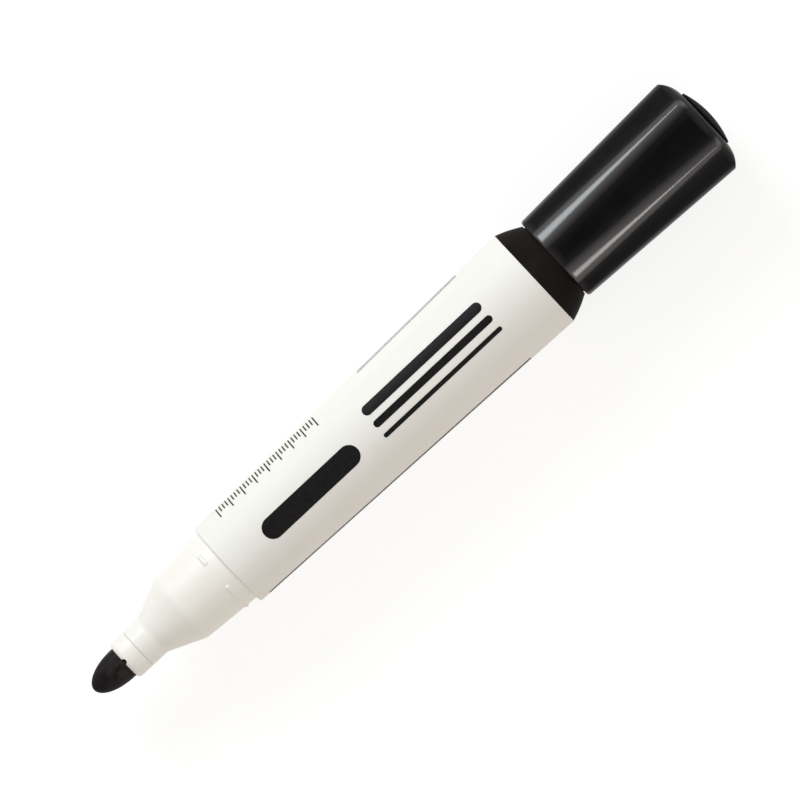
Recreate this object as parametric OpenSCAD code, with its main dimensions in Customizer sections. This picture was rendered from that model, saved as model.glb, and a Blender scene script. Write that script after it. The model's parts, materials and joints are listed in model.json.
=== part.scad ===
// Whiteboard marker with a bullet nib, its cap pushed onto the rear post.
// Every piece is turned about one axis. Heights are measured along that axis from the point
// of the nib, and the finished marker lies along X.

/* [Nib] */
// Length of felt that stands out of the collar
nib_point_len = 6.8; // [5:0.05:9]
// Length of the rounded part of the point
nib_round_len = 6.3; // [4:0.1:8]
// Diameter of the felt where it enters the collar
nib_d = 5.9; // [5.4:0.1:6.6]
// Depth of the thick felt inside the collar
nib_seat_depth = 1.4; // [0.8:0.1:2.4]
// Diameter of the shank that carries ink to the point
shank_d = 5; // [4:0.1:5.2]
// How far the shank reaches into the reservoir
tail_depth = 10; // [6:0.5:20]
// Length of the tapered end of the shank
tail_taper_len = 4; // [2:0.5:5]
// Diameter of the blunt end of the shank
tail_tip_d = 1.8; // [1:0.1:3]

/* [Collar] */
// Length of the collar ring in front of the neck
collar_len = 3.15; // [2.6:0.05:5]
// Wall of the collar ring and of its spigot
collar_wall = 0.65; // [0.45:0.05:0.7]
// Rounding of the front edge of the collar, which its wall limits
collar_edge = 0.5; // [0.1:0.05:0.6]
// Rounding of the two edges that meet at the seam between the collar and the neck
seam_edge = 0.12; // [0.05:0.01:0.2]
// Length of the collar's spigot inside the neck
collar_spigot_len = 4.5; // [3:0.1:5]
// Number of air notches round the collar
notch_count = 3; // [2:1:6]
// Diameter of the round air notches
notch_d = 1.05; // [0.6:0.05:1.4]

/* [Nose] */
// Length of the straight neck that the cap seals on
neck_len = 3.15; // [2.4:0.05:5]
// Length of the flare between the neck and the cap seat
flare_len = 6.4; // [5.4:0.1:10]
// Rounding of the inside corner at the neck
neck_fillet = 2; // [0.5:0.1:4]
// Rounding of the outside corner at the cap seat
seat_fillet = 3.5; // [0.5:0.1:6]
// Diameter of the cap seat at its front end
seat_front_d = 12.8; // [11.6:0.1:13.4]
// Diameter of the cap seat at the barrel, and of the rear post
seat_rear_d = 14.15; // [13.9:0.05:14.4]
// Length of the cap seat
seat_len = 10.4; // [8:0.1:14]
// Wall of the nose
nose_wall = 1.3; // [1.1:0.05:1.6]
// Length of the nose inside the barrel
nose_spigot_len = 9; // [6:0.5:14]
// Distance from the barrel's front end to the front of the reservoir
reservoir_setback = 1.5; // [0.5:0.1:3]
// Number of snap bumps round the cap seat
bump_count = 6; // [3:1:8]
// Width of a snap bump round the seat
bump_w = 2.2; // [1:0.1:3]
// Length of a snap bump along the axis
bump_len = 1; // [0.8:0.1:1.6]
// Height of a snap bump
bump_h = 0.25; // [0.2:0.05:0.4]
// Distance from the barrel's front end to the snap bumps
bump_setback = 2.2; // [1.8:0.1:3]

/* [Barrel] */
// Length of the barrel
barrel_len = 68.6; // [55:0.05:90]
// Diameter of the barrel at its front end
barrel_front_d = 16.05; // [15.6:0.05:16.6]
// Diameter of the barrel at its rear end
barrel_rear_d = 19; // [18.4:0.1:20]
// Wall of the barrel at its rear end
barrel_wall = 1.1; // [0.9:0.05:1.4]
// Rounding of the barrel's front edge
barrel_edge = 0.35; // [0.1:0.05:0.5]
// Number of ribs that centre the reservoir
rib_count = 6; // [3:1:8]
// Thickness of a rib
rib_w = 1; // [0.6:0.1:1.6]
// Distance from the rear ends of the ribs to the plug
rib_setback = 2; // [1:0.1:6]
// Length of straight bore beyond the nose and in front of the plug
bore_lead = 0.6; // [0.3:0.1:0.8]

/* [Reservoir] */
// Diameter of the fibre core
core_d = 12; // [11.2:0.1:12.2]
// Thickness of the film round the core
film_wall = 0.2; // [0.1:0.05:0.3]

/* [Rear plug] */
// Length of the plug inside the barrel
plug_spigot_len = 8; // [5:0.5:12]
// Depth to which the plug holds the reservoir
plug_socket_depth = 3.2; // [2:0.1:4]
// Length of the tapered shoulder behind the barrel
shoulder_len = 4.4; // [3:0.1:6]
// Width of the step that the cap's rim stops at
shoulder_step = 0.4; // [0.3:0.05:0.9]
// How far the shoulder bulges beyond a straight cone
shoulder_crown = 0.2; // [0.1:0.05:0.4]
// Rounding of the shoulder
shoulder_round = 18; // [4:1:20]
// Length of the post that holds the cap
post_len = 10.3; // [8:0.1:12]
// Wall of the post
post_wall = 1.4; // [1:0.1:2]
// Rounding of the end of the post
post_edge = 0.8; // [0.2:0.1:1.2]

/* [Cap] */
// Diameter across the lands at the rim
cap_rim_d = 16.35; // [16.2:0.05:17.2]
// How far the ridges at the closed end stay inside the barrel's largest diameter
cap_inset = 0.1; // [0.05:0.05:0.3]
// Number of flutes round the cap
flute_count = 6; // [6:1:8]
// Radius of the hollow of a flute
flute_round = 40; // [24:1:60]
// Depth of a flute at the closed end, below the straight line between the middles of its two ridges
flute_hollow = 0.1; // [0.05:0.01:0.4]
// Wall that a flute leaves round the bore at the rim
flute_wall = 0.4; // [0.35:0.05:0.6]
// Rounding of the rim's outer edge
cap_rim_edge = 0.5; // [0.1:0.05:0.55]
// Radius of the rounded closed end
cap_end_round = 5.3; // [4.4:0.1:8]
// Rounding of the corners of the ridges
cap_corner = 0.4; // [0.1:0.05:0.5]
// Thickness of the closed end
cap_end_wall = 1.6; // [1.2:0.1:2]
// Length of the straight bore behind the rim
cap_straight_len = 13; // [12.5:0.1:15]
// How much the bore narrows on each side towards the closed end
cap_draft = 0.45; // [0.2:0.05:0.7]
// Depth of the groove that the snap bumps click into
groove_depth = 0.18; // [0.1:0.02:0.25]
// Room along the axis between a bump and its groove
groove_room = 0.25; // [0.1:0.05:0.4]

/* [Cap liner] */
// Diameter of the liner's head on the closed end of the cap
head_d = 10.9; // [10.4:0.1:11.4]
// Height of the head's straight edge
head_edge_h = 0.35; // [0.2:0.05:0.6]
// Height of the head's dome above that edge
head_dome_h = 0.95; // [0.5:0.05:1.5]
// Width of the head's ledge round the hole in the cap
head_ledge = 0.5; // [0.3:0.05:0.8]
// Thickness of the liner's closed end under the head
liner_crown = 2.3; // [1.8:0.1:3]
// Wall of the liner's cup
liner_wall = 0.75; // [0.5:0.05:0.85]
// Height of the lip that seals on the neck
lip_h = 1.4; // [0.8:0.1:2]
// Distance of the lip from the flare of the capped nose
lip_setback = 0.5; // [0.3:0.1:1]
// Room between the point of the capped nib and the liner
tip_room = 1.45; // [0.5:0.05:3]

/* [Fits] */
// Gap between pieces that are pressed together
press_gap = 0.03; // [0.01:0.01:0.05]
// Gap round the felt and its shank
felt_gap = 0.05; // [0.02:0.01:0.08]
// Gap round the reservoir
reservoir_gap = 0.1; // [0.05:0.01:0.15]
// Gap between the cap's bore and what it slides on
cap_gap = 0.06; // [0.04:0.01:0.1]
// Gap between the cap's rim and its stop
rim_gap = 0.15; // [0.1:0.05:0.5]
// Gap at the end of a blind fit
end_gap = 0.1; // [0.05:0.01:0.2]

/* [Hidden] */
$fn = 160;
// Steps in the arc of a rounded corner, and in a longer curve
corner_steps = 5;
curve_steps = 12;
// Overlap that keeps a cut clear of the surface that it starts from
cut_over = 1;

// Heights along the axis, from the point of the nib
collar_at = nib_point_len;
neck_at = collar_at + collar_len;
flare_at = neck_at + neck_len;
seat_at = flare_at + flare_len;
step_at = seat_at + seat_len;
nose_end_at = step_at + nose_spigot_len;
tail_at = step_at + barrel_len;
plug_at = tail_at - plug_spigot_len;
post_at = tail_at + shoulder_len;
rim_at = post_at + rim_gap;
reservoir_at = step_at + reservoir_setback;
reservoir_end = plug_at + plug_socket_depth - end_gap;
tail_end = reservoir_at + tail_depth;

// Radii of the fits
nib_bore_r = nib_d / 2 + felt_gap;
collar_r = nib_bore_r + collar_wall;
neck_r = collar_r;
shank_bore_r = shank_d / 2 + felt_gap;
collar_spigot_r = shank_bore_r + collar_wall;
neck_bore_r = collar_spigot_r + press_gap;
film_bore_r = core_d / 2 + press_gap;
film_r = film_bore_r + film_wall;
socket_r = film_r + reservoir_gap;
nose_spigot_r = seat_rear_d / 2;
post_r = seat_rear_d / 2;
barrel_front_bore_r = nose_spigot_r + press_gap;
barrel_rear_bore_r = barrel_rear_d / 2 - barrel_wall;
cap_bore_r = seat_rear_d / 2 + cap_gap;
cap_end_r = barrel_rear_d / 2 - cap_inset;
flute_rim_r = cap_bore_r + flute_wall;
flute_end_r = cap_end_r * cos(180 / flute_count) - flute_hollow;
head_r = head_d / 2;
head_hole_r = head_r - head_ledge;
liner_r = head_hole_r - press_gap;
liner_bore_r = liner_r - liner_wall;
lip_bore_r = neck_r + cap_gap;

// Heights inside the cap, from its rim. The capped nose stops with its step at the rim.
capped_step = -rim_gap;
cap_end = capped_step + step_at + tip_room + liner_crown;
cap_inner_end = cap_end - cap_end_wall;
liner_inner_end = cap_end - liner_crown;
lip_at = capped_step + step_at - flare_at + lip_setback;
groove_at = capped_step + bump_setback;
cap_end_sweep = asin((cap_end_r - head_r) / cap_end_round);
cap_corner_at = cap_end - cap_end_round * (1 - cos(cap_end_sweep));

marker_len = rim_at + cap_end + head_edge_h + head_dome_h;

// A profile is a list of [radius, height, rounding of that corner]
function along(v) = v / norm(v);
function corner_arc(before, corner, after, r) =
    let (a = along(before - corner))
    let (b = along(after - corner))
    let (half = acos(a * b) / 2)
    let (centre = corner + along(a + b) * r / sin(half))
    let (from = corner + a * r / tan(half) - centre)
    let (side = sign(a[0] * b[1] - a[1] * b[0]))
    let (sweep = -side * (180 - 2 * half))
    let (start = atan2(from[1], from[0]))
    [for (i = [0:corner_steps])
        let (t = start + sweep * i / corner_steps)
        centre + r * [cos(t), sin(t)]];
function flat(p) = [p[0], p[1]];
function rounded(points) =
    let (n = len(points))
    [for (i = [0:n - 1])
        let (p = points[i])
        each p[2] > 0
            ? corner_arc(flat(points[(i + n - 1) % n]), flat(p), flat(points[(i + 1) % n]), p[2])
            : [flat(p)]];

module turned(points) {
    rotate_extrude()
        polygon(rounded(points));
}

module ring_of(count) {
    for (i = [0:count - 1])
        rotate([0, 0, 360 * i / count])
            children();
}

// Lays the marker along X, with the middle of its axis at the origin
module laid() {
    translate([-marker_len / 2, 0, 0])
        rotate([0, 90, 0])
            children();
}

// Bullet point, shoulder in the collar, and shank with a tapered tail
module nib() {
    r = nib_d / 2;
    shoulder = collar_at + nib_seat_depth;
    point = [for (i = [0:curve_steps])
        let (t = 90 * i / curve_steps)
        [r * sin(t), nib_round_len * (1 - cos(t)), 0]];
    color("#161515") laid()
        turned(concat(point, [
            [r, shoulder, 0],
            [shank_d / 2, shoulder, 0],
            [shank_d / 2, tail_end - tail_taper_len, 0],
            [tail_tip_d / 2, tail_end, 0],
            [0, tail_end, 0]]));
}

// Ring round the felt with air notches in its front edge, on a spigot in the neck
module nib_collar() {
    nib_stop = collar_at + nib_seat_depth + end_gap;
    color("#f3f1ea") laid()
        difference() {
            turned([
                [nib_bore_r, collar_at, 0],
                [collar_r, collar_at, min(collar_edge, collar_wall)],
                [collar_r, neck_at, seam_edge],
                [collar_spigot_r, neck_at, 0],
                [collar_spigot_r, neck_at + collar_spigot_len, 0],
                [shank_bore_r, neck_at + collar_spigot_len, 0],
                [shank_bore_r, nib_stop, 0],
                [nib_bore_r, nib_stop, 0]]);
            ring_of(notch_count)
                translate([0, 0, collar_at])
                    rotate([0, -90, 0])
                        cylinder(d = notch_d, h = collar_r + cut_over);
        }
}

// Rounded rib round the cap seat, cut into separate bumps
module snap_bumps() {
    at = step_at - bump_setback;
    slope = (seat_rear_d - seat_front_d) / 2 / seat_len;
    base = seat_front_d / 2 + slope * (at - seat_at);
    sunk = nose_wall / 2;
    intersection() {
        turned([
            [base - sunk, at - bump_len / 2, 0],
            [base, at - bump_len / 2, 0],
            [base + bump_h, at, bump_h],
            [base, at + bump_len / 2, 0],
            [base - sunk, at + bump_len / 2, 0]]);
        ring_of(bump_count)
            rotate([0, 0, 180 / bump_count])
                translate([0, -bump_w / 2, at - bump_len])
                    cube([seat_rear_d, bump_w, 2 * bump_len]);
    }
}

// Neck, flare and tapered cap seat, with a spigot in the barrel and a socket for the reservoir
module nose_section() {
    bore_end = neck_at + collar_spigot_len + end_gap;
    ledge = reservoir_at - end_gap;
    color("#f6f4ee") laid()
        union() {
            turned([
                [neck_bore_r, neck_at, 0],
                [neck_r, neck_at, seam_edge],
                [neck_r, flare_at, neck_fillet],
                [seat_front_d / 2, seat_at, seat_fillet],
                [seat_rear_d / 2, step_at, 0],
                [nose_spigot_r, nose_end_at, 0],
                [socket_r, nose_end_at, 0],
                [socket_r, ledge, 0],
                [seat_rear_d / 2 - nose_wall, ledge, 0],
                [seat_front_d / 2 - nose_wall, seat_at + nose_wall / 2, 0],
                [neck_bore_r, bore_end, 0]]);
            snap_bumps();
        }
}

// Tapered tube with ribs that centre the reservoir and stop the nose
module barrel() {
    color("#f4f1ea") laid()
        difference() {
            turned([
                [0, step_at, 0],
                [barrel_front_d / 2, step_at, barrel_edge],
                [barrel_rear_d / 2, tail_at, 0],
                [0, tail_at, 0]]);
            difference() {
                turned([
                    [0, step_at - cut_over, 0],
                    [barrel_front_bore_r, step_at - cut_over, 0],
                    [barrel_front_bore_r, nose_end_at + bore_lead, 0],
                    [barrel_rear_bore_r, plug_at - bore_lead, 0],
                    [barrel_rear_bore_r, tail_at + cut_over, 0],
                    [0, tail_at + cut_over, 0]]);
                ring_of(rib_count)
                    translate([socket_r, -rib_w / 2, nose_end_at])
                        cube([barrel_rear_d, rib_w, plug_at - rib_setback - nose_end_at]);
            }
        }
}

// Fibre rod that holds the ink, with the hole that the nib's shank is pushed into
module reservoir_core() {
    color("#4a4a4d") laid()
        turned([
            [0, tail_end + end_gap, 0],
            [shank_bore_r, tail_end + end_gap, 0],
            [shank_bore_r, reservoir_at, 0],
            [core_d / 2, reservoir_at, 0],
            [core_d / 2, reservoir_end, 0],
            [0, reservoir_end, 0]]);
}

// Film wrapped round the fibre rod
module reservoir_film() {
    color("#d9dde0") laid()
        turned([
            [film_bore_r, reservoir_at, 0],
            [film_r, reservoir_at, 0],
            [film_r, reservoir_end, 0],
            [film_bore_r, reservoir_end, 0]]);
}

// Plug with a spigot in the barrel, a crowned shoulder and a hollow post for the cap
module rear_plug() {
    tail_r = barrel_rear_d / 2 - press_gap;
    spigot_r = barrel_rear_bore_r - press_gap;
    step_r = post_r + shoulder_step;
    post_end = post_at + post_len;
    ledge = plug_at + plug_socket_depth;
    hollow_r = post_r - post_wall;
    color("#1d1c1c") laid()
        turned([
            [socket_r, plug_at, 0],
            [spigot_r, plug_at, 0],
            [spigot_r, tail_at, 0],
            [tail_r, tail_at, 0],
            [(tail_r + step_r) / 2 + shoulder_crown, tail_at + shoulder_len / 2, shoulder_round],
            [step_r, post_at, 0],
            [post_r, post_at, 0],
            [post_r, post_end, post_edge],
            [0, post_end, 0],
            [0, post_end - post_wall, 0],
            [hollow_r, post_end - post_wall, 0],
            [hollow_r, ledge, 0],
            [socket_r, ledge, 0]]);
}

// Round hollow along the cap, whose floor rises from the rim to the closed end
module flute() {
    lean = atan((flute_end_r - flute_rim_r) / cap_corner_at);
    translate([flute_rim_r + flute_round / cos(lean), 0, 0])
        rotate([0, lean, 0])
            cylinder(r = flute_round, h = 2 * (cap_end + flute_round), center = true);
}

// Cone that widens to a rounded end, hollow inside, with flutes that leave lands at the rim, which
// narrow to ridges at the closed end
module cap_shell() {
    groove_half = bump_len / 2 + groove_room;
    end_curve = [for (i = [1:curve_steps])
        let (t = cap_end_sweep * (1 - i / curve_steps))
        [head_r + cap_end_round * sin(t), cap_end - cap_end_round * (1 - cos(t)), 0]];
    color("#1b1b1c") laid() translate([0, 0, rim_at])
        difference() {
            turned(concat([
                [cap_bore_r, 0, 0],
                [cap_rim_d / 2, 0, cap_rim_edge],
                [cap_end_r, cap_corner_at, cap_corner]],
                end_curve, [
                [head_hole_r, cap_end, 0],
                [head_hole_r, cap_inner_end, 0],
                [cap_bore_r - cap_draft, cap_inner_end, 0],
                [cap_bore_r, cap_straight_len, 0],
                [cap_bore_r, groove_at + groove_half, 0],
                [cap_bore_r + groove_depth, groove_at + bump_len / 2, 0],
                [cap_bore_r + groove_depth, groove_at - bump_len / 2, 0],
                [cap_bore_r, groove_at - groove_half, 0]]));
            ring_of(flute_count)
                flute();
        }
}

// Cup that seals on the neck, pushed in from the closed end until its domed head seats
module cap_liner() {
    dome_r = (head_r * head_r + head_dome_h * head_dome_h) / 2 / head_dome_h;
    dome_sweep = asin(head_r / dome_r);
    dome_top = cap_end + head_edge_h + head_dome_h;
    dome = [for (i = [0:curve_steps])
        let (t = dome_sweep * (1 - i / curve_steps))
        [dome_r * sin(t), dome_top - dome_r * (1 - cos(t)), 0]];
    color("#191919") laid() translate([0, 0, rim_at])
        turned(concat(dome, [
            [0, liner_inner_end, 0],
            [liner_bore_r, liner_inner_end, 0],
            [liner_bore_r, lip_at + lip_h, 0],
            [lip_bore_r, lip_at + lip_h / 2, 0],
            [lip_bore_r, lip_at, 0],
            [liner_r, lip_at, 0],
            [liner_r, cap_end, 0],
            [head_r, cap_end, 0]]));
}

nib();
nib_collar();
nose_section();
barrel();
reservoir_core();
reservoir_film();
rear_plug();
cap_shell();
cap_liner();
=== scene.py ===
import json
import math

import bmesh
import bpy
from mathutils import Matrix, Vector, noise

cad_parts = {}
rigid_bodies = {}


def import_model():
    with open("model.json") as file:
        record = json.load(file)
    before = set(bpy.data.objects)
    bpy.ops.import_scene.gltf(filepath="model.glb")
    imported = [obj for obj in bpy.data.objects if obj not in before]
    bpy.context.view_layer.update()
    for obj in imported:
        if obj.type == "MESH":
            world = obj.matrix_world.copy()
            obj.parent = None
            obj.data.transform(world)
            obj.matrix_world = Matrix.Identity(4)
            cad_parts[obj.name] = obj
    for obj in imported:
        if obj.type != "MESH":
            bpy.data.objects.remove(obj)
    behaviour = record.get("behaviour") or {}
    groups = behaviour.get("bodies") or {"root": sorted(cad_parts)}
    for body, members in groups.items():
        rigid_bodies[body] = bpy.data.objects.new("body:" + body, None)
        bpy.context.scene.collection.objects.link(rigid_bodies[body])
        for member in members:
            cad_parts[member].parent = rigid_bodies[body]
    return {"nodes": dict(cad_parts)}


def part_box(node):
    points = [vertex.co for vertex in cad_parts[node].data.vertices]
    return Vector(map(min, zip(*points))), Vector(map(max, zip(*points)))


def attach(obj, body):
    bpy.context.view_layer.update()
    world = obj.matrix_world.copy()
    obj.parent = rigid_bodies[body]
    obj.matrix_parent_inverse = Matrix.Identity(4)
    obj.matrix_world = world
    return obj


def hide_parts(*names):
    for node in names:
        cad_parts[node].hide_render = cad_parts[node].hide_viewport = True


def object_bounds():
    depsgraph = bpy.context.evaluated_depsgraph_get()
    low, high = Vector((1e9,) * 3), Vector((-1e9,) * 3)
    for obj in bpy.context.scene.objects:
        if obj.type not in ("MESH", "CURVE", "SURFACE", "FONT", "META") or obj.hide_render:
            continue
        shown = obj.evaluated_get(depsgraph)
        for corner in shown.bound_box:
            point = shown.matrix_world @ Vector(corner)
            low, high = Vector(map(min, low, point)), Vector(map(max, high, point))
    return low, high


for left_over in list(bpy.data.objects):
    bpy.data.objects.remove(left_over)

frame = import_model()
cad_low, cad_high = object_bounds()

# Shapes are written in millimetres. X runs along the axis from the nib to the cap, and an angle
# of 0 faces +Z and grows towards +Y.
MM = 0.001


def box_mm(node):
    low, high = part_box(node)
    return low / MM, high / MM


nib_low, nib_high = box_mm("nib")
collar_low, collar_high = box_mm("nib_collar")
nose_low, nose_high = box_mm("nose_section")
barrel_low, barrel_high = box_mm("barrel")
plug_low, plug_high = box_mm("rear_plug")
cap_low, cap_high = box_mm("cap_shell")
liner_low, liner_high = box_mm("cap_liner")

TIP = nib_low.x
COLLAR = collar_low.x
NECK = nose_low.x
STEP = barrel_low.x
TAIL = barrel_high.x
RIM = cap_low.x
CAP_LEN = cap_high.x - cap_low.x
NIB_R = 2.95
COLLAR_R = 3.65
SEAT_R = 6.4
POST_R = 7.075
SOCKET_R = 6.33
BARREL_FRONT_R = 8.025
BARREL_REAR_R = 9.5
PLUG_R = 9.47
CAP_BORE_R = 7.135
CAP_RIM_R = 8.175
CAP_END_R = 9.4
HEAD_R = 5.45
# The collar and the nose are flush, and each stops this far from the seam, with a rounded edge.
SEAM = 0.015
SEAM_EDGE = 0.14
# Shoulders that rest on another piece stay this far from it.
GAP = 0.01


def between(a, b, t):
    return a + (b - a) * t


def barrel_r(x):
    return between(BARREL_FRONT_R, BARREL_REAR_R, (x - STEP) / (TAIL - STEP))


# Meshes

def rounded(points, steps=8):
    """Turns (x, r, rounding) corners into arcs, and returns the loop as (x, r) points."""
    made = []
    count = len(points)
    for i, (x, r, fillet) in enumerate(points):
        here = Vector((x, r))
        if fillet <= 0:
            made.append((x, r))
            continue
        a = (Vector(points[i - 1][:2]) - here).normalized()
        b = (Vector(points[(i + 1) % count][:2]) - here).normalized()
        half = math.acos(max(-1.0, min(1.0, a.dot(b)))) / 2
        centre = here + (a + b).normalized() * (fillet / math.sin(half))
        start = here + a * (fillet / math.tan(half)) - centre
        side = 1 if a.x * b.y - a.y * b.x > 0 else -1
        sweep_angle = -side * (math.pi - 2 * half)
        first = math.atan2(start.y, start.x)
        for k in range(steps + 1):
            t = first + sweep_angle * k / steps
            made.append((centre.x + fillet * math.cos(t), centre.y + fillet * math.sin(t)))
    return made


def finish_mesh(name, verts, faces, sharp=38):
    mesh = bpy.data.meshes.new(name)
    mesh.from_pydata([Vector(v) * MM for v in verts], [], faces)
    work = bmesh.new()
    work.from_mesh(mesh)
    bmesh.ops.remove_doubles(work, verts=work.verts, dist=1e-8)
    bmesh.ops.recalc_face_normals(work, faces=work.faces)
    work.to_mesh(mesh)
    work.free()
    for face in mesh.polygons:
        face.use_smooth = True
    mesh.set_sharp_from_angle(angle=math.radians(sharp))
    made = bpy.data.objects.new(name, mesh)
    bpy.context.scene.collection.objects.link(made)
    return made


def on_round(x, r, angle):
    return x, r * math.sin(angle), r * math.cos(angle)


def skin(name, loops, sharp=38):
    """Closed skin through loops of (x, r, angle) points. A row on the axis is one point."""
    rows = len(loops[0])
    verts, index = [], []
    for j in range(rows):
        if all(loop[j][1] < 1e-6 for loop in loops):
            verts.append((loops[0][j][0], 0, 0))
            index.append([len(verts) - 1] * len(loops))
        else:
            index.append(list(range(len(verts), len(verts) + len(loops))))
            verts.extend(on_round(*loop[j]) for loop in loops)
    faces = []
    for j in range(rows):
        here, there = index[j], index[(j + 1) % rows]
        for i in range(len(loops)):
            k = (i + 1) % len(loops)
            corners = [here[i], here[k], there[k], there[i]]
            corners = [c for n, c in enumerate(corners) if c not in corners[:n]]
            if len(corners) > 2:
                faces.append(corners)
    return finish_mesh(name, verts, faces, sharp)


def at_angle(loop, angle):
    return [(x, r, angle) for x, r in loop]


def turned(name, loop, count):
    return skin(name, [at_angle(loop, 2 * math.pi * i / count) for i in range(count)])


def smooth_min(a, b, width):
    h = max(width - abs(a - b), 0.0) / width
    return min(a, b) - h * h * width / 4


def smooth_step(t):
    t = max(0.0, min(1.0, t))
    return t * t * (3 - 2 * t)


def make_nib():
    point_len, steps, around = 6.3, 40, 192
    shank_r, end_r, taper = 2.5, 0.9, 4
    nap, nap_along, nap_across = 0.035, 1.3, 4
    seat = COLLAR + 1.4
    tail = nib_high.x
    point = []
    for i in range(steps + 1):
        t = math.pi / 2 * i / steps
        point.append((TIP + point_len * (1 - math.cos(t)), NIB_R * math.sin(t)))
    loop = point + [
        (seat, NIB_R),
        (seat, shank_r),
        (tail - taper, shank_r),
        (tail, end_r),
        (tail, 0.0)]

    def column(angle):
        made = []
        for x, r in loop:
            if 0 < r and x < COLLAR:
                spot = Vector((x * nap_along, r * math.sin(angle) * nap_across,
                               r * math.cos(angle) * nap_across))
                r -= nap * (0.5 + 0.5 * noise.noise(spot)) * min(1.0, r)
            made.append((x, r, angle))
        return made

    return skin("felt_nib", [column(2 * math.pi * i / around) for i in range(around)])


def make_collar():
    notch_r = 0.525
    notch_half = math.asin(notch_r / COLLAR_R)
    third = 2 * math.pi / 3
    plain_steps, edge_steps = 48, 14
    angles = []
    for k in range(3):
        for t in range(-90, 91, 10):
            angles.append(third * k + math.asin(notch_r / COLLAR_R * math.sin(math.radians(t))))
        for i in range(1, plain_steps):
            angles.append(third * k + notch_half + (third - 2 * notch_half) * i / plain_steps)
    bore, spigot, shank = 3.0, 3.2, 2.55
    edge_long, edge_tall = 0.9, 0.6
    seat = COLLAR + 1.5

    def column(angle):
        near = math.remainder(angle, third)

        def front(r):
            d = r * math.sin(near)
            return COLLAR + math.sqrt(max(notch_r * notch_r - d * d, 0.0))

        loop = [(front(bore), bore, 0)]
        for i in range(edge_steps + 1):
            t = math.pi / 2 * i / edge_steps
            r = COLLAR_R - edge_tall * (1 - math.sin(t))
            loop.append((max(front(r), COLLAR + edge_long * (1 - math.cos(t))), r, 0))
        loop += [
            (NECK - SEAM, COLLAR_R, SEAM_EDGE),
            (NECK - SEAM, spigot, 0),
            (collar_high.x, spigot, 0),
            (collar_high.x, shank, 0),
            (seat, shank, 0),
            (seat, bore, 0)]
        return at_angle(rounded(loop), angle)

    return skin("collar_ring", [column(a) for a in sorted(angles)], sharp=50)


def make_nose():
    flare, seat = NECK + 3.15, NECK + 9.55
    flare_round, seat_round = 2.0, 3.5
    wall, bore = 1.3, 3.23
    socket, bore_end = STEP + 1.4, NECK + 4.6
    bump_at, bump_half_w, bump_h = STEP - 2.2, 1.1, 0.25
    bump_half_l, crest_half_l, steep = 0.6, 0.55, 1.25
    bump_steps, plain_steps, length_steps = 20, 16, 24
    sixth = math.pi / 3
    wide = math.asin((bump_half_w + 0.16) / POST_R)
    angles = []
    for k in range(6):
        middle = sixth * (k + 0.5)
        angles.extend(middle + wide * i / bump_steps for i in range(-bump_steps, bump_steps + 1))
        angles.extend(middle + wide + (sixth - 2 * wide) * i / plain_steps
                      for i in range(1, plain_steps))
    front = rounded([
        (NECK + SEAM, bore, 0),
        (NECK + SEAM, COLLAR_R, SEAM_EDGE),
        (flare, COLLAR_R, flare_round),
        (seat, SEAT_R, seat_round),
        (STEP, POST_R, 0)], 14)[:-1]
    back = [
        (STEP, POST_R),
        (nose_high.x, POST_R),
        (nose_high.x, SOCKET_R),
        (socket, SOCKET_R),
        (socket, POST_R - wall),
        (seat + wall / 2, SEAT_R - wall),
        (bore_end, bore)]

    def column(angle):
        near = math.remainder(angle - sixth / 2, sixth)
        window = smooth_step((bump_half_w + 0.14 - abs(POST_R * math.sin(near))) / 0.2)
        bump = []
        for i in range(length_steps + 1):
            x = bump_at - bump_half_l + 2 * bump_half_l * i / length_steps
            side = 1 - min(1.0, abs(x - bump_at) / crest_half_l)
            rise = bump_h * smooth_step(side * steep) * window
            bump.append((x, between(SEAT_R, POST_R, (x - seat) / (STEP - seat)) + rise))
        return at_angle(front + bump + back, angle)

    return skin("nose_cone", [column(a) for a in angles])


def make_plug():
    spigot_r = 8.37
    step_r = POST_R + 0.4
    shoulder_len = 4.4
    half_way, shoulder = TAIL + shoulder_len / 2, TAIL + shoulder_len
    crown, crown_round = 0.2, 18
    wall = 1.4
    end, front = plug_high.x, plug_low.x
    socket = front + 3.2
    loop = rounded([
        (front, SOCKET_R, 0),
        (front, spigot_r, 0.1),
        (TAIL + GAP, spigot_r, 0),
        (TAIL + GAP, PLUG_R, 0.08),
        (half_way, (PLUG_R + step_r) / 2 + crown, crown_round),
        (shoulder, step_r, 0.12),
        (shoulder, POST_R, 0),
        (end, POST_R, 0.8),
        (end, 0, 0),
        (end - wall, 0, 0),
        (end - wall, POST_R - wall, 0),
        (socket, POST_R - wall, 0),
        (socket, SOCKET_R, 0)], 12)
    return turned("rear_plug_body", loop, 240)


FLUTES = 6
PITCH = 2 * math.pi / FLUTES
FLUTE_R = 40.0
FLUTE_RIM_R = CAP_BORE_R + 0.4
FLUTE_END_R = CAP_END_R * math.cos(PITCH / 2) - 0.1
END_R = 5.3
RIDGE_BLEND = 0.4


def end_arc_h(r):
    return CAP_LEN - END_R + math.sqrt(END_R ** 2 - (r - HEAD_R) ** 2)


CORNER_H = end_arc_h(CAP_END_R)


def cone_r(h):
    return between(CAP_RIM_R, CAP_END_R, h / CORNER_H)


def flute_away(h):
    return between(FLUTE_RIM_R, FLUTE_END_R, h / CORNER_H) + FLUTE_R


def land_edge(h):
    """Angle from the middle of a flute to the land beside it."""
    away, r = flute_away(h), cone_r(h)
    return math.acos((away ** 2 + r ** 2 - FLUTE_R ** 2) / (2 * away * r))


def cap_side_r(near, h):
    away = flute_away(h)
    flute = away * math.cos(near) - math.sqrt(FLUTE_R ** 2 - (away * math.sin(near)) ** 2)
    return smooth_min(cone_r(h), flute, RIDGE_BLEND)


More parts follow.
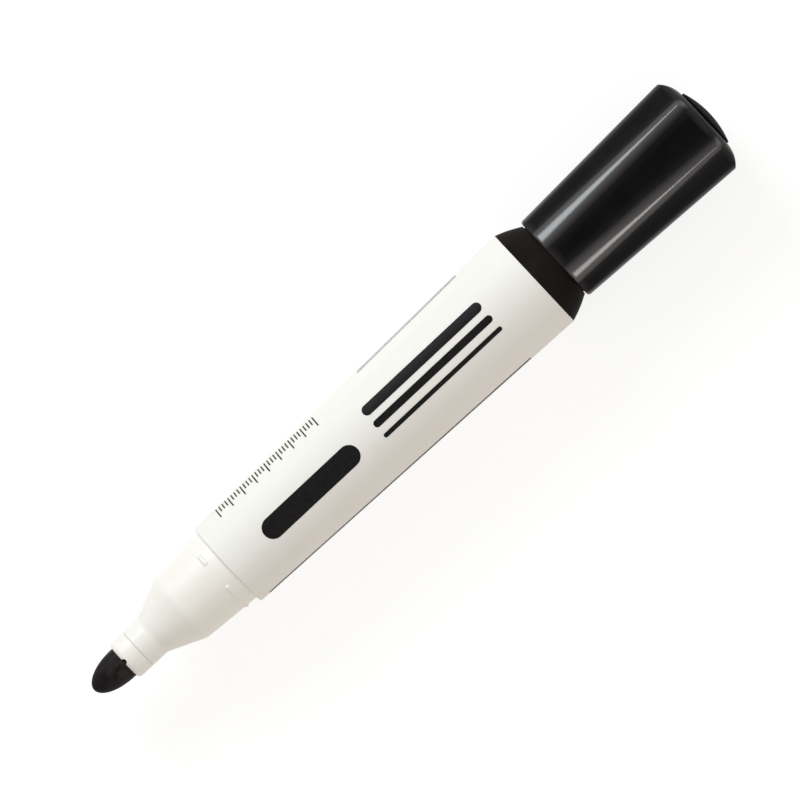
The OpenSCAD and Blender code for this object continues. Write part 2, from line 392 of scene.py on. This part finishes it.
def make_cap():
    bore, groove = CAP_BORE_R, CAP_BORE_R + 0.18
    inner_end, ledge_r = CAP_LEN - 1.6, HEAD_R - 0.5
    straight = 13
    side_start, side_steps, end_steps = 0.7, 30, 12
    flute_steps, land_steps = 32, 12
    inside = [
        (CAP_LEN, ledge_r, 0),
        (inner_end, ledge_r, 0),
        (inner_end, bore - 0.45, 0),
        (straight, bore, 0),
        (2.65, bore, 0),
        (2.4, groove, 0),
        (1.4, groove, 0),
        (1.15, bore, 0)]

    def column(middle, across):
        """across runs from -1 to 1 over a flute, and on to 2 over the land behind it."""
        def near(h):
            edge = land_edge(h)
            if across <= 1:
                return edge * across
            return edge + (PITCH - 2 * edge) * (across - 1)

        def side_r(h):
            return cap_side_r(math.remainder(near(h), PITCH), h)

        top = CORNER_H
        for _ in range(20):
            top = end_arc_h(side_r(top))
        edge_r = side_r(top)
        from_ridge = 1 - abs(math.remainder(near(top), PITCH)) / (PITCH / 2)
        corner = 0.35 + 0.3 * from_ridge
        turn = math.pi / 2 - math.asin((edge_r - HEAD_R) / END_R)
        tangent = corner * math.tan(turn / 2) + 0.12
        rim_edge = min(0.5, 0.7 * (side_r(0) - bore))
        loop = [(0, bore, 0), (0, side_r(0), rim_edge)]
        for i in range(side_steps + 1):
            h = between(side_start, top - tangent, i / side_steps)
            loop.append((h, side_r(h), 0))
        loop.append((top, edge_r, corner))
        start = edge_r - tangent * math.sin(turn)
        for i in range(end_steps + 1):
            r = between(start, HEAD_R, i / end_steps)
            loop.append((end_arc_h(r), r, 0))
        return [(RIM + h, r, middle + near(min(max(h, 0.0), top)))
                for h, r in rounded(loop + inside, 7)]

    spread = [math.sin(math.pi * i / flute_steps - math.pi / 2) for i in range(flute_steps + 1)]
    spread += [1.5 - 0.5 * math.cos(math.pi * i / land_steps) for i in range(1, land_steps)]
    columns = [column(PITCH * k, across) for k in range(FLUTES) for across in spread]
    return skin("fluted_cap", columns, sharp=45)


def make_liner():
    top, lip, seat = liner_high.x, liner_low.x, cap_high.x
    lip_bore = COLLAR_R + 0.06
    wall = HEAD_R - 0.53
    bore = wall - 0.75
    lip_end, bore_start, roof = lip + 0.7, lip + 1.4, seat - 2.3
    dome_h, dome_steps, dome_edge = 0.95, 24, 0.12
    dome_r = (HEAD_R ** 2 + dome_h ** 2) / 2 / dome_h
    sweep_angle = math.asin(HEAD_R / dome_r)
    dome = []
    for i in range(dome_steps + 1):
        t = sweep_angle * i / dome_steps
        dome.append((top - dome_r * (1 - math.cos(t)), dome_r * math.sin(t), 0))
    dome[-1] = (*dome[-1][:2], dome_edge)
    loop = rounded(dome + [
        (seat + GAP, HEAD_R, 0),
        (seat + GAP, wall, 0),
        (lip, wall, 0.1),
        (lip, lip_bore, 0.1),
        (lip_end, lip_bore, 0),
        (bore_start, bore, 0),
        (roof, bore, 0.3),
        (roof, 0, 0)], 8)
    return turned("cap_button", loop, 192)


INK_TOP, INK_UNDER = 0.014, -0.02


def print_shell(name, strips):
    """Thin ink on the barrel. A strip is a list of rows, and a row a list of (x, arc) points."""
    verts, faces = [], []
    for rows in strips:
        wide = len(rows[0])
        base = len(verts)
        for lift in (INK_TOP, INK_UNDER):
            for row in rows:
                for x, arc in row:
                    r = barrel_r(x)
                    verts.append(on_round(x, r + lift, arc / r))
        layer = len(rows) * wide

        def at(j, i, under):
            return base + j * wide + i + (layer if under else 0)

        for j in range(len(rows) - 1):
            for i in range(wide - 1):
                for under in (False, True):
                    faces.append([at(j, i, under), at(j, i + 1, under),
                                  at(j + 1, i + 1, under), at(j + 1, i, under)])
        rim = [(0, i) for i in range(wide)]
        rim += [(j, wide - 1) for j in range(1, len(rows))]
        rim += [(len(rows) - 1, i) for i in range(wide - 2, -1, -1)]
        rim += [(j, 0) for j in range(len(rows) - 2, 0, -1)]
        for (j, i), (l, k) in zip(rim, rim[1:] + rim[:1]):
            faces.append([at(j, i, False), at(l, k, False), at(l, k, True), at(j, i, True)])
    return finish_mesh(name, verts, faces)


def bar(x0, x1, arc, half):
    """Straight bar along the barrel, with round ends."""
    end_steps, middle_steps, wide_steps = 12, 24, 8
    thinnest = 0.0004
    quarter = [half * (1 - math.cos(math.pi / 2 * i / end_steps)) for i in range(end_steps + 1)]
    stations = [x0 + d for d in quarter]
    stations += [between(x0 + half, x1 - half, i / middle_steps) for i in range(1, middle_steps)]
    stations += [x1 - d for d in reversed(quarter)]
    rows = []
    for x in stations:
        short = max(1 - min(x - x0, x1 - x) / half, 0.0)
        w = half * math.sqrt(max(1 - short ** 2, thinnest))
        rows.append([(x, arc + w * (2 * i / wide_steps - 1)) for i in range(wide_steps + 1)])
    return rows


def line(x0, x1, arc0, arc1, half):
    """Thin line along the barrel, between two arcs."""
    steps = 40
    rows = []
    for n in range(steps + 1):
        x, arc = between(x0, x1, n / steps), between(arc0, arc1, n / steps)
        rows.append([(x, arc - half), (x, arc), (x, arc + half)])
    return rows


def make_print():
    bars = print_shell("print_strokes", [
        bar(-31.0, -10.3, -0.6, 1.9),
        bar(-5.8, 20.3, 3.0, 0.95),
        bar(-5.8, 20.3, 0.2, 0.65),
        bar(-5.8, 20.3, -2.2, 0.4)])
    first, apart, count = -34.2, 0.68, 33
    foot, half, steps = 11.0, 0.12, 6
    ticks = []
    for n in range(count):
        x = first + apart * n
        tall = 3.6 if n % 4 == 0 else 2.4
        ticks.append([[(x + dx, foot - tall * i / steps) for i in range(steps + 1)]
                      for dx in (-half, half)])
    ruler = print_shell("print_ticks", ticks)
    lines = print_shell("print_lines", [
        line(-2.0, 20.5, 11.3, 12.2, 0.13),
        line(-2.0, 20.5, 12.2, 13.1, 0.13),
        line(-37.0, 20.3, -11.3, -12.8, 0.45)])
    return bars, ruler, lines


# Materials

class Graph:
    """Node material in the part's own space, with one Principled shader."""

    def __init__(self, name):
        self.material = bpy.data.materials.new(name)
        self.material.use_nodes = True
        self.tree = self.material.node_tree
        self.tree.nodes.clear()
        self.shader = self.add("ShaderNodeBsdfPrincipled")
        output = self.add("ShaderNodeOutputMaterial")
        self.tree.links.new(self.shader.outputs[0], output.inputs["Surface"])
        self.place = self.add("ShaderNodeTexCoord").outputs["Object"]

    def add(self, kind, inputs=None, **settings):
        node = self.tree.nodes.new(kind)
        for key, value in settings.items():
            setattr(node, key, value)
        for key, value in (inputs or {}).items():
            self.plug(node.inputs[key], value)
        return node

    def plug(self, socket, value):
        if isinstance(value, bpy.types.NodeSocket):
            self.tree.links.new(value, socket)
        else:
            socket.default_value = value

    def set(self, **inputs):
        for key, value in inputs.items():
            self.plug(self.shader.inputs[key.replace("_", " ")], value)

    def noise(self, stretch, detail=3.0, rough=0.5):
        moved = self.add("ShaderNodeMapping", {"Vector": self.place, "Scale": stretch})
        made = self.add("ShaderNodeTexNoise", {
            "Vector": moved.outputs[0], "Scale": 1.0, "Detail": detail, "Roughness": rough})
        return made.outputs["Fac"]

    def span(self, value, low, high, start=0.3, end=0.7):
        made = self.add("ShaderNodeMapRange", {
            "Value": value, "From Min": start, "From Max": end, "To Min": low, "To Max": high})
        return made.outputs[0]

    def blend(self, fac, low, high):
        made = self.add("ShaderNodeMix", data_type="RGBA")
        self.plug(made.inputs["Factor"], fac)
        self.plug(made.inputs[6], (*low, 1.0) if isinstance(low, tuple) else low)
        self.plug(made.inputs[7], (*high, 1.0) if isinstance(high, tuple) else high)
        return made.outputs[2]

    def math(self, operation, a, b=0.0):
        made = self.add("ShaderNodeMath", operation=operation)
        self.plug(made.inputs[0], a)
        self.plug(made.inputs[1], b)
        return made.outputs[0]

    def bump(self, height, distance, strength=1.0, under=None):
        made = self.add("ShaderNodeBump", {
            "Height": height, "Distance": distance, "Strength": strength})
        if under is not None:
            self.plug(made.inputs["Normal"], under)
        return made.outputs[0]


def white_plastic(name, pale, deep, rough, scatter, level):
    g = Graph(name)
    clouds = g.noise((70, 130, 130), 4.0)
    flow = g.noise((25, 420, 420), 3.0)
    specks = g.noise((2600, 2600, 2600), 1.0)
    tone = g.math("ADD", g.math("MULTIPLY", clouds, 0.65), g.math("MULTIPLY", flow, 0.35))
    g.set(Base_Color=g.blend(g.span(tone, 0.0, 1.0), deep, pale),
          Roughness=g.span(flow, rough - 0.05, rough + 0.06),
          Subsurface_Weight=scatter,
          Subsurface_Radius=(1.0, 0.8, 0.6),
          Subsurface_Scale=0.0012,
          Specular_IOR_Level=level,
          IOR=1.49)
    peel = g.bump(g.noise((900, 900, 900), 2.0), 0.000006, 0.5)
    g.set(Normal=g.bump(specks, 0.000002, 0.5, peel))
    return g.material


def black_plastic(name, deep, worn, rough, level):
    """Returns the graph, for more nodes, and its cloudy noise."""
    g = Graph(name)
    clouds = g.noise((160, 260, 260), 4.0)
    scuffs = g.noise((120, 2400, 2400), 2.0)
    peel = g.noise((700, 700, 700), 2.0)
    g.set(Base_Color=g.blend(g.span(clouds, 0.0, 1.0), deep, worn),
          Roughness=g.math("ADD", g.span(clouds, rough - 0.02, rough + 0.03),
                           g.span(scuffs, -0.02, 0.03)),
          Specular_IOR_Level=level,
          IOR=1.49)
    g.set(Normal=g.bump(scuffs, 0.0000003, 0.5, g.bump(peel, 0.000004, 0.15)))
    return g, clouds


def black_cap_plastic(name):
    """Black plastic whose lands are polished by handling; painted reflection lightens it beside
    them, and painted highlights lighten its rim and closed end.
    """
    g, clouds = black_plastic(name, deep=(0.004, 0.0042, 0.0043), worn=(0.0065, 0.0068, 0.007),
                              rough=0.26, level=0.012)
    end = RIM + CAP_LEN
    where = g.add("ShaderNodeSeparateXYZ", {"Vector": g.place})
    along = where.outputs["X"]
    round_axis = g.math("ARCTAN2", where.outputs["Y"], where.outputs["Z"])
    from_flute = g.math("PINGPONG", round_axis, PITCH / 2)
    edge = g.span(along, land_edge(0), land_edge(CORNER_H), RIM * MM, (RIM + CORNER_H) * MM)
    past_edge = g.math("SUBTRACT", from_flute, edge)
    polished = g.span(past_edge, 0.0, 1.0, -0.12, 0.03)
    # Painted reflection: the colour is lighter beside each land, standing in for the lamps' glow
    # reflected there.
    painted_ridge_glow = g.span(past_edge, 0.0, 1.0, -0.34, 0.0)
    # Painted highlights: lighter bands at the rim and where the panels end, standing in for light
    # on the rounded edges.
    painted_rim_highlight = g.span(along, 1.0, 0.0, RIM * MM, (RIM + 1.6) * MM)
    painted_end_highlight = g.math("MULTIPLY",
                      g.span(along, 0.0, 1.0, (end - 1.9) * MM, (end - 0.9) * MM),
                      g.span(along, 1.0, 0.0, (end - 0.6) * MM, (end - 0.1) * MM))
    before_end = g.span(along, 1.0, 0.0, (end - 1.0) * MM, (end - 0.6) * MM)
    # The painted reflection and painted highlights, varied by the cloudy noise, lighten the base
    # colour.
    painted_light_mask = g.math("MAXIMUM", g.math("MULTIPLY", painted_ridge_glow, painted_ridge_glow),
                     g.math("MAXIMUM", painted_rim_highlight, painted_end_highlight))
    painted_light_mask = g.math("MULTIPLY", painted_light_mask, g.span(clouds, 0.75, 1.0))
    plain = g.shader.inputs["Base Color"].links[0].from_socket
    g.set(Base_Color=g.blend(painted_light_mask, plain, (0.032, 0.029, 0.029)),
          Coat_Weight=g.math("MULTIPLY", polished, before_end),
          Coat_Roughness=0.295,
          Coat_IOR=1.56)
    return g.material


def felt(name):
    g = Graph(name)
    fibres = g.noise((420, 3600, 3600), 4.0, 0.6)
    tufts = g.noise((700, 1100, 1100), 3.0, 0.6)
    along = g.add("ShaderNodeSeparateXYZ", {"Vector": g.place}).outputs["X"]
    # The felt's colour is lighter towards the collar, in tufts.
    lighter_to_collar = g.math("MULTIPLY", g.span(along, 0.0, 1.0, TIP * MM, COLLAR * MM),
                 g.span(tufts, 0.0, 1.0, 0.35, 0.65))
    inked = g.blend(g.span(fibres, 0.0, 1.0), (0.001, 0.0007, 0.0007), (0.004, 0.003, 0.003))
    g.set(Base_Color=g.blend(lighter_to_collar, inked, (0.034, 0.025, 0.025)),
          Roughness=g.span(tufts, 0.5, 0.75),
          Specular_IOR_Level=0.1)
    g.set(Normal=g.bump(fibres, 0.00005, 0.8, g.bump(tufts, 0.00006, 0.6)))
    return g.material


def fibre_core(name):
    g = Graph(name)
    fibres = g.noise((60, 5200, 5200), 3.0, 0.6)
    g.set(Base_Color=g.blend(g.span(fibres, 0.0, 1.0), (0.02, 0.02, 0.022), (0.07, 0.07, 0.075)),
          Roughness=g.span(fibres, 0.7, 0.95))
    g.set(Normal=g.bump(fibres, 0.00005, 0.7))
    return g.material


def film(name):
    g = Graph(name)
    creases = g.noise((90, 700, 700), 3.0)
    g.set(Base_Color=g.blend(g.span(creases, 0.0, 1.0), (0.62, 0.64, 0.65), (0.75, 0.77, 0.78)),
          Roughness=g.span(creases, 0.12, 0.3),
          Alpha=0.55)
    g.set(Normal=g.bump(creases, 0.00003, 0.6))
    return g.material


def ink(name):
    g = Graph(name)
    grain = g.noise((1500, 1500, 1500), 3.0)
    g.set(Base_Color=g.blend(g.span(grain, 0.0, 1.0),
                             (0.004, 0.0035, 0.0035), (0.009, 0.008, 0.008)),
          Roughness=g.span(grain, 0.38, 0.55),
          Specular_IOR_Level=0.1)
    g.set(Normal=g.bump(grain, 0.000004, 0.5))
    return g.material


WHITE_BARREL = white_plastic(
    "white_barrel_plastic", pale=(0.89, 0.886, 0.86), deep=(0.86, 0.853, 0.82),
    rough=0.46, scatter=0.10, level=0.2)
WHITE_NOSE = white_plastic(
    "white_nose_plastic", pale=(0.918, 0.91, 0.872), deep=(0.888, 0.876, 0.824),
    rough=0.36, scatter=0.08, level=0.4)
# The low levels keep the white surroundings from turning the black grey.
BLACK_PLUG = black_plastic(
    "black_plug_plastic", deep=(0.0105, 0.0091, 0.0084), worn=(0.016, 0.0139, 0.0128),
    rough=0.5, level=0.012)[0].material
BLACK_CAP = black_cap_plastic("black_cap_plastic")
BLACK_LINER = black_plastic(
    "black_liner_plastic", deep=(0.002, 0.002, 0.002), worn=(0.004, 0.004, 0.004),
    rough=0.5, level=0.012)[0].material
FELT = felt("black_felt")
INK = ink("black_print_ink")


def dress(piece, material, body, node):
    piece.data.materials.append(material)
    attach(piece, body)
    if node:
        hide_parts(node)


dress(make_nib(), FELT, "marker", "nib")
dress(make_collar(), WHITE_NOSE, "marker", "nib_collar")
dress(make_nose(), WHITE_NOSE, "marker", "nose_section")
dress(make_plug(), BLACK_PLUG, "marker", "rear_plug")
dress(make_cap(), BLACK_CAP, "cap", "cap_shell")
dress(make_liner(), BLACK_LINER, "cap", "cap_liner")
for made in make_print():
    dress(made, INK, "marker", None)

for node, material in (("barrel", WHITE_BARREL), ("reservoir_core", fibre_core("inked_fibre")),
                       ("reservoir_film", film("wrapped_film"))):
    carried = frame["nodes"][node]
    for place in carried.material_slots:
        place.material = material


# Stage, light and camera

def shows_backdrop(tree):
    """1 for the rays that see the white backdrop, and 0 for those that carry light."""
    path = tree.nodes.new("ShaderNodeLightPath")
    first = tree.nodes.new("ShaderNodeMath")
    first.operation = "MAXIMUM"
    second = tree.nodes.new("ShaderNodeMath")
    second.operation = "MAXIMUM"
    tree.links.new(path.outputs["Is Camera Ray"], first.inputs[0])
    tree.links.new(path.outputs["Is Glossy Ray"], first.inputs[1])
    tree.links.new(first.outputs[0], second.inputs[0])
    tree.links.new(path.outputs["Is Transmission Ray"], second.inputs[1])
    return second.outputs[0]


def make_floor():
    mesh = bpy.data.meshes.new("floor")
    half = 6.0
    z = cad_low.z
    mesh.from_pydata([(-half, -half, z), (half, -half, z), (half, half, z), (-half, half, z)],
                     [], [(0, 1, 2, 3)])
    floor = bpy.data.objects.new("floor", mesh)
    bpy.context.scene.collection.objects.link(floor)
    material = bpy.data.materials.new("floor_white")
    material.use_nodes = True
    tree = material.node_tree
    tree.nodes.clear()
    paper = tree.nodes.new("ShaderNodeBsdfDiffuse")
    paper.inputs["Color"].default_value = (0.68, 0.62, 0.56, 1.0)
    thin = tree.nodes.new("ShaderNodeBsdfDiffuse")
    thin.inputs["Color"].default_value = (0.25, 0.25, 0.25, 1.0)
    glow = tree.nodes.new("ShaderNodeEmission")
    glow.inputs["Color"].default_value = (1.0, 1.0, 1.0, 1.0)
    glow.inputs["Strength"].default_value = 0.82
    both = tree.nodes.new("ShaderNodeAddShader")
    choose = tree.nodes.new("ShaderNodeMixShader")
    output = tree.nodes.new("ShaderNodeOutputMaterial")
    link = tree.links.new
    link(thin.outputs[0], both.inputs[0])
    link(glow.outputs[0], both.inputs[1])
    link(shows_backdrop(tree), choose.inputs[0])
    link(paper.outputs[0], choose.inputs[1])
    link(both.outputs[0], choose.inputs[2])
    link(choose.outputs[0], output.inputs["Surface"])
    mesh.materials.append(material)


def area_light(name, at, aim, size, energy, colour):
    data = bpy.data.lights.new(name, "AREA")
    data.shape = "RECTANGLE"
    data.size, data.size_y = size
    data.energy = energy
    data.color = colour
    lamp = bpy.data.objects.new(name, data)
    lamp.location = at
    back = (Vector(at) - Vector(aim)).normalized()
    right = Vector((1, 0, 0))
    up = back.cross(right).normalized()
    right = up.cross(back)
    lamp.rotation_euler = Matrix((right, up, back)).transposed().to_euler()
    bpy.context.scene.collection.objects.link(lamp)


def make_world():
    world = bpy.data.worlds.new("studio")
    bpy.context.scene.world = world
    world.use_nodes = True
    tree = world.node_tree
    tree.nodes.clear()
    place = tree.nodes.new("ShaderNodeTexCoord")
    split = tree.nodes.new("ShaderNodeSeparateXYZ")
    ramp = tree.nodes.new("ShaderNodeValToRGB")
    ramp.color_ramp.elements[0].position = 0.20
    ramp.color_ramp.elements[0].color = (0.37, 0.33, 0.29, 1.0)
    ramp.color_ramp.elements[1].position = 0.90
    ramp.color_ramp.elements[1].color = (0.55, 0.525, 0.495, 1.0)
    sky = tree.nodes.new("ShaderNodeBackground")
    backdrop = tree.nodes.new("ShaderNodeBackground")
    backdrop.inputs["Color"].default_value = (1.0, 1.0, 1.0, 1.0)
    choose = tree.nodes.new("ShaderNodeMixShader")
    output = tree.nodes.new("ShaderNodeOutputWorld")
    link = tree.links.new
    link(place.outputs["Generated"], split.inputs[0])
    link(split.outputs["Z"], ramp.inputs[0])
    link(ramp.outputs[0], sky.inputs["Color"])
    link(shows_backdrop(tree), choose.inputs[0])
    link(sky.outputs[0], choose.inputs[1])
    link(backdrop.outputs[0], choose.inputs[2])
    link(choose.outputs[0], output.inputs["Surface"])


def round_the_side(angle, away):
    """Point beside the marker, at an angle from straight up towards +Y."""
    return away * math.sin(math.radians(angle)), away * math.cos(math.radians(angle))


def side_lamp(name, x, angle, size, energy, colour):
    away = 0.62
    y, z = round_the_side(angle, away)
    area_light(name, (x, y, z), (x, 0, 0), size, energy, colour)


make_floor()
make_world()
side_lamp("key", x=0.020, angle=58, size=(0.27, 0.31), energy=2.64, colour=(0.905, 0.963, 1.0))
side_lamp("fill", x=0.018, angle=-60, size=(0.06, 0.10), energy=0.76, colour=(1.0, 0.95, 0.915))


def make_camera():
    sensor, seen_width = 36.0, 0.1307
    data = bpy.data.cameras.new("camera")
    data.sensor_width = sensor
    data.clip_start, data.clip_end = 0.05, 50.0
    at = Vector((0.030, 0.0, 1.80))
    aim = Vector((0.0, 0.00046, 0.0))
    data.lens = sensor * (at - aim).length / seen_width
    turn = math.radians(43.1)
    back = (at - aim).normalized()
    up = Vector((math.sin(turn), math.cos(turn), 0))
    right = up.cross(back).normalized()
    up = back.cross(right)
    camera = bpy.data.objects.new("camera", data)
    camera.matrix_world = Matrix.Translation(at) @ Matrix((right, up, back)).transposed().to_4x4()
    bpy.context.scene.collection.objects.link(camera)
    bpy.context.scene.camera = camera


make_camera()
bpy.context.scene.view_settings.view_transform = "Standard"
